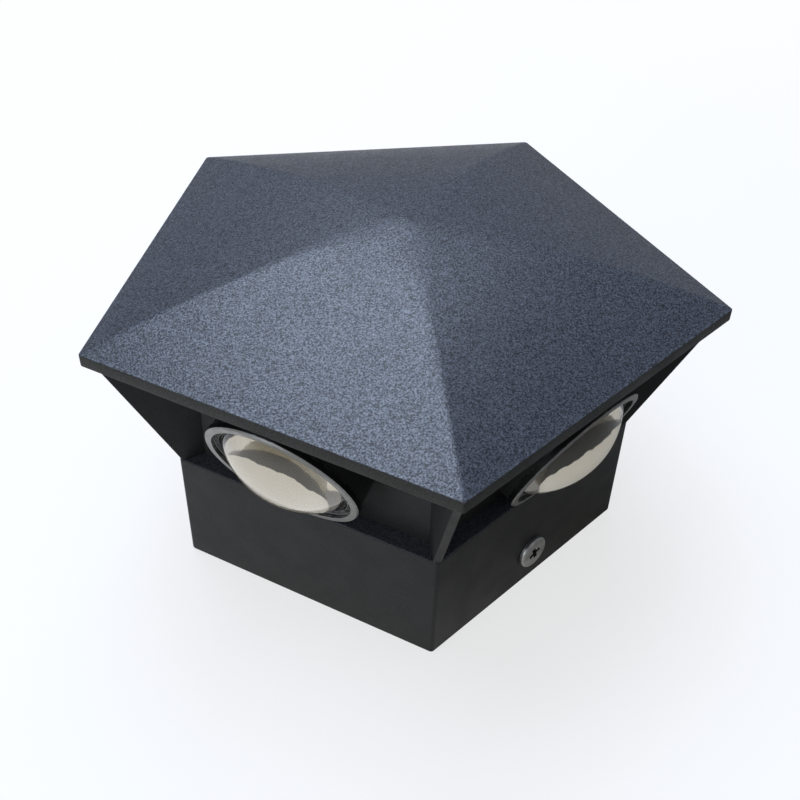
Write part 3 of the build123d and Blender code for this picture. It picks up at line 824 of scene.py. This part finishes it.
def cup_profile():
    inner = []
    for i in range(CUP_STEPS + 1):
        share = i / CUP_STEPS
        bulge = CUP_BULGE * math.sin(math.pi * share)
        inner.append((CUP_HOLE + (SEATED - CUP_LIP - CUP_HOLE) * share + bulge * 0.5,
                      BOARD_TOP + (SEAL_BACK - BOARD_TOP) * share - bulge * 0.8))
    wall = SEATED - CUP_WALL
    outer = [(SEATED, SEAL_BACK), (SEATED, BOARD_TOP), (wall, BOARD_TOP),
             (wall, SEAL_BACK - CUP_DROP), (CUP_HOLE + CUP_WALL, BOARD_TOP)]
    return inner + outer + inner[:1]


print("points", len(lens_profile()), len(seal_profile()), len(cup_profile()))


# %% Lens units in place
def unit_frame(index):
    """Places a drawing about Z on the axis of one of the five units."""
    angle = math.radians(FIRST_FACE + SECTOR * index)
    out = Vector((math.cos(angle), math.sin(angle), 0))
    axis = out * math.cos(SLANT) - Vector((0, 0, math.sin(SLANT)))
    side = Vector((-out.y, out.x, 0))
    turn = Matrix((side, axis.cross(side), axis)).transposed().to_4x4()
    middle = (COVER_EDGE + SKIRT_EDGE) / 2 + RING_PROUD * math.cos(SLANT)
    height = (COVER_RIM_LOW + SKIRT_TOP) / 2 - RING_PROUD * math.sin(SLANT)
    return Matrix.Translation((out * middle + Vector((0, 0, height))) * MM) @ turn


def ring():
    profile = ring_profile()
    return paint_shaded_runs(turned([row[:2] for row in profile], UNIT_STEPS), profile)


for index in range(FACES):
    number, place = index + 1, unit_frame(index)
    settle(ring(), f"bezel_{number}", [ring_metal, painted_shade_metal], "lamp_head",
           [f"lens_ring_{number}"], place=place, sharp=RING_SHARP)
    settle(turned(lens_profile(), UNIT_STEPS), f"lens_glass_{number}", [lens_glass],
           "lamp_head", [f"lens_{number}"], place=place)
    settle(turned(seal_profile()), f"seal_ring_{number}", [soft_silicone],
           "lamp_head", [f"lens_seal_{number}"], edge=0.2, place=place)
    settle(turned(cup_profile()), f"cup_{number}", [cream_gloss],
           "lamp_head", [f"reflector_cup_{number}"], edge=0.15, place=place)
print("units", FACES)

# %% [markdown]
# At the bottom of each cup sits the light source: a square of white ceramic with a round
# bead of yellow phosphor and two gold pads, soldered to a round board. A bevelled cube
# gives the ceramic, and the bead and the pads are turned and set on top of it. The lens
# enlarges it, so its edges are broken as on the real part.

# %% Emitters
EMITTER_SIDE = 5.0
EMITTER_HEIGHT = 0.7
EMITTER_CORNER = 0.35
BEAD_RADIUS = 1.9
BEAD_HEIGHT = 0.3
BEAD_CURVE = ((0, 1), (0.6, 0.93), (0.88, 0.66), (1, 0))
BEAD_STEPS = 48
PAD_PLACES = ((-1.85, -1.85), (1.85, 1.85))
PAD_RADIUS = 0.45
PAD_HEIGHT = 0.05
PAD_STEPS = 20
SUNK = 0.1


def emitter():
    """Faces of material 0 are ceramic, 1 the phosphor bead and 2 the gold pads."""
    bm = bmesh.new()
    made = bmesh.ops.create_cube(bm, size=1.0)["verts"]
    bmesh.ops.scale(bm, vec=(EMITTER_SIDE, EMITTER_SIDE, EMITTER_HEIGHT), verts=made)
    bmesh.ops.translate(bm, verts=made, vec=(0, 0, BOARD_TOP + EMITTER_HEIGHT / 2))
    upright = [e for e in bm.edges if abs(e.verts[0].co.z - e.verts[1].co.z) > EMITTER_HEIGHT / 2]
    bmesh.ops.bevel(bm, geom=upright, offset=EMITTER_CORNER, segments=4, profile=0.5,
                    affect="EDGES", material=-1)
    top = BOARD_TOP + EMITTER_HEIGHT
    bead = [(BEAD_RADIUS * r, top + BEAD_HEIGHT * h) for r, h in BEAD_CURVE]
    bead += [(BEAD_RADIUS, top - SUNK), (0, top - SUNK)]
    join(bm, turned(bead, BEAD_STEPS), 1)
    pad = [(0, top + PAD_HEIGHT), (PAD_RADIUS - 0.07, top + PAD_HEIGHT), (PAD_RADIUS, top),
           (PAD_RADIUS, top - SUNK), (0, top - SUNK)]
    for x, y in PAD_PLACES:
        join(bm, turned(pad, PAD_STEPS), 2, (x, y, 0))
    return bm


for index in range(FACES):
    number = index + 1
    settle(emitter(), f"emitter_{number}", [white_ceramic, yellow_phosphor, plain_brass],
           "lamp_head", [f"led_emitter_{number}"], edge=0.06, place=unit_frame(index))
    refined(f"board_{number}", f"led_board_{number}", [white_mask],
            "lamp_head", 0.12)
print("emitters", FACES)

# %% [markdown]
# Two pan head screws in the base hold the lamp on its bracket, and one shows in the
# picture. The head is turned, and a cross-shaped punch is cut out of it with a Boolean
# modifier, which is made final at once. A shallow recess with a small taper looks like
# the worn one on the real screw, and painted shade makes it darker than the head. The
# shank keeps the imported length.

# %% A pan head screw
SCREW_STEPS = 48
HEAD_RADIUS = 4.0
HEAD_HEIGHT = 1.3
HEAD_STEPS = 8
SHANK_RADIUS = 2.0
SHANK_LENGTH = 12.0
SHANK_PITCH = 0.7
THREAD_ROOT = 0.86
THREAD_CREST = 0.985


def pan_head():
    """A rounded head above zero and a threaded shank below it."""
    profile = [(0, HEAD_HEIGHT), (HEAD_RADIUS * 0.45, HEAD_HEIGHT * 0.985)]
    round_in = HEAD_HEIGHT / 2
    for i in range(HEAD_STEPS + 1):
        turn = math.radians(90 * i / HEAD_STEPS)
        profile.append((HEAD_RADIUS - round_in * (1 - math.sin(turn)),
                        HEAD_HEIGHT - round_in * (1 - math.cos(turn))))
    profile += [(HEAD_RADIUS, 0.12), (HEAD_RADIUS - 0.12, 0), (SHANK_RADIUS * 0.97, 0)]
    root, crest = SHANK_RADIUS * THREAD_ROOT, SHANK_RADIUS * THREAD_CREST
    for i in range(int((SHANK_LENGTH - 1.2) / SHANK_PITCH)):
        z = -0.5 - SHANK_PITCH * i
        profile += [(root, z), (crest, z - SHANK_PITCH / 2)]
    profile += [(root, -SHANK_LENGTH + 0.5), (SHANK_RADIUS * 0.6, -SHANK_LENGTH),
                (0, -SHANK_LENGTH)]
    return turned(profile, SCREW_STEPS)


print("screw head", 2 * HEAD_RADIUS, "mm across")

# %% Its recess
RECESS_WIDTH = 4.8
RECESS_ARM = 1.3
RECESS_DEPTH = 0.9
RECESS_TAPER = (0.45, 0.7, 1.0)
RECESS_REACH = 2.5
PUNCH_ABOVE = 1.0


def cross_punch():
    """A tapered cross, wide at the top and narrow at the bottom."""
    bm = bmesh.new()
    for quarter in (0, math.pi / 2):
        made = bmesh.ops.create_cube(bm, size=1.0)["verts"]
        bmesh.ops.scale(bm, vec=(RECESS_WIDTH, RECESS_ARM, RECESS_DEPTH + PUNCH_ABOVE), verts=made)
        low = [v for v in made if v.co.z < 0]
        bmesh.ops.scale(bm, vec=RECESS_TAPER, verts=low)
        bmesh.ops.rotate(bm, verts=made, cent=(0, 0, 0), matrix=Matrix.Rotation(quarter, 3, "Z"))
        lift = HEAD_HEIGHT + (PUNCH_ABOVE - RECESS_DEPTH) / 2
        bmesh.ops.translate(bm, verts=made, vec=(0, 0, lift))
    return bm


def as_object(bm, name):
    mesh = bpy.data.meshes.new(name)
    bm.to_mesh(mesh)
    bm.free()
    thing = bpy.data.objects.new(name, mesh)
    bpy.context.scene.collection.objects.link(thing)
    return thing


def carved(bm, punch):
    """Cuts the punch out of the first bmesh and returns the result as a new bmesh."""
    body, tool = as_object(bm, "blank"), as_object(punch, "punch")
    cut = body.modifiers.new("cut", "BOOLEAN")
    cut.operation = "DIFFERENCE"
    cut.solver = "EXACT"
    cut.use_self = True
    cut.object = tool
    bpy.context.view_layer.update()
    result = bmesh.new()
    result.from_object(body, bpy.context.evaluated_depsgraph_get())
    for thing in (body, tool):
        mesh = thing.data
        bpy.data.objects.remove(thing)
        bpy.data.meshes.remove(mesh)
    bmesh.ops.dissolve_degenerate(result, dist=MERGE, edges=result.edges)
    return result


def screw():
    """The carved screw, with the second material, painted shade, in its recess."""
    bm = carved(pan_head(), cross_punch())
    for face in bm.faces:
        middle = face.calc_center_median()
        # The recess takes painted shade.
        if 0 < middle.z < HEAD_HEIGHT - 0.15 and middle.xy.length < RECESS_REACH:
            face.material_index = 1
    return bm


print("recess", RECESS_WIDTH, "mm wide")

# %% Side screws in place
SCREW_LEVEL = 9.0
SCREW_TURN = 20.0
SCREW_SHARP = 40.0
SCREW_FACES = {"right": -54.0, "left": 162.0}

for side, angle in SCREW_FACES.items():
    turn = math.radians(angle)
    out = Vector((math.cos(turn), math.sin(turn), 0))
    across = Vector((-out.y, out.x, 0))
    place = Matrix.Translation((out * SKIRT_EDGE + Vector((0, 0, SCREW_LEVEL))) * MM)
    place = place @ Matrix((across, out.cross(across), out)).transposed().to_4x4()
    place = place @ Matrix.Rotation(math.radians(SCREW_TURN), 4, "Z")
    piece = settle(screw(), f"pan_screw_{side}", [bright_zinc, painted_shade_metal],
                   f"screw_{side}", [f"side_screw_{side}"], edge=0.06, place=place,
                   sharp=SCREW_SHARP)
    print(piece.name, len(piece.data.polygons))

# %% [markdown]
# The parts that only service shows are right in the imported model. Pressed steel has a
# rolled edge where the press cut it and moulded nylon has a small radius everywhere, so
# these get a bevelled copy as the castings did. Each line names the new piece, the packed
# node, its finish, its slot, the body and the size of the edge.

# %% Bracket, back, gland and driver
SERVICE_PARTS = (
    ("bracket_plate", "wall_bracket", dull_zinc, "galvanised", "bracket", 0.22),
    ("earth_bolt", "earth_screw", plain_brass, "brass", "bracket", 0.08),
    ("sealing_plate", "back_plate", dull_zinc, "galvanised", "lamp_head", 0.22),
    ("nut_bar_right", "nut_plate_right", dull_zinc, "galvanised", "lamp_head", 0.15),
    ("nut_bar_left", "nut_plate_left", dull_zinc, "galvanised", "lamp_head", 0.15),
    ("gland_collar", "gland_body", black_nylon, "black_nylon", "lamp_head", 0.15),
    ("gland_cap", "gland_nut", black_nylon, "black_nylon", "lamp_head", 0.15),
    ("gland_back_nut", "gland_locknut", black_nylon, "black_nylon", "lamp_head", 0.15),
    ("driver_block", "driver_case", driver_white, "driver_plastic", "lamp_head", 0.25),
)
for name, node, material, slot, body, edge in SERVICE_PARTS:
    piece = refined(name, node, [material], body, edge)
    print(name, len(piece.data.polygons))

# %% [markdown]
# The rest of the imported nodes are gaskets, small screws and sleeves. They keep their own
# meshes and get their finish by material slot.

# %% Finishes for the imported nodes
NODE_FINISH = {
    "cover_gasket": black_rubber, "cover_screws": bright_zinc, "led_leads": red_sleeve,
    "driver_pad": grey_foam, "back_gasket": black_rubber, "back_plate_screws": bright_zinc,
    "gland_seal": black_rubber,
}
for node, material in NODE_FINISH.items():
    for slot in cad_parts[node].material_slots:
        slot.material = material
print("finished nodes", len(NODE_FINISH))
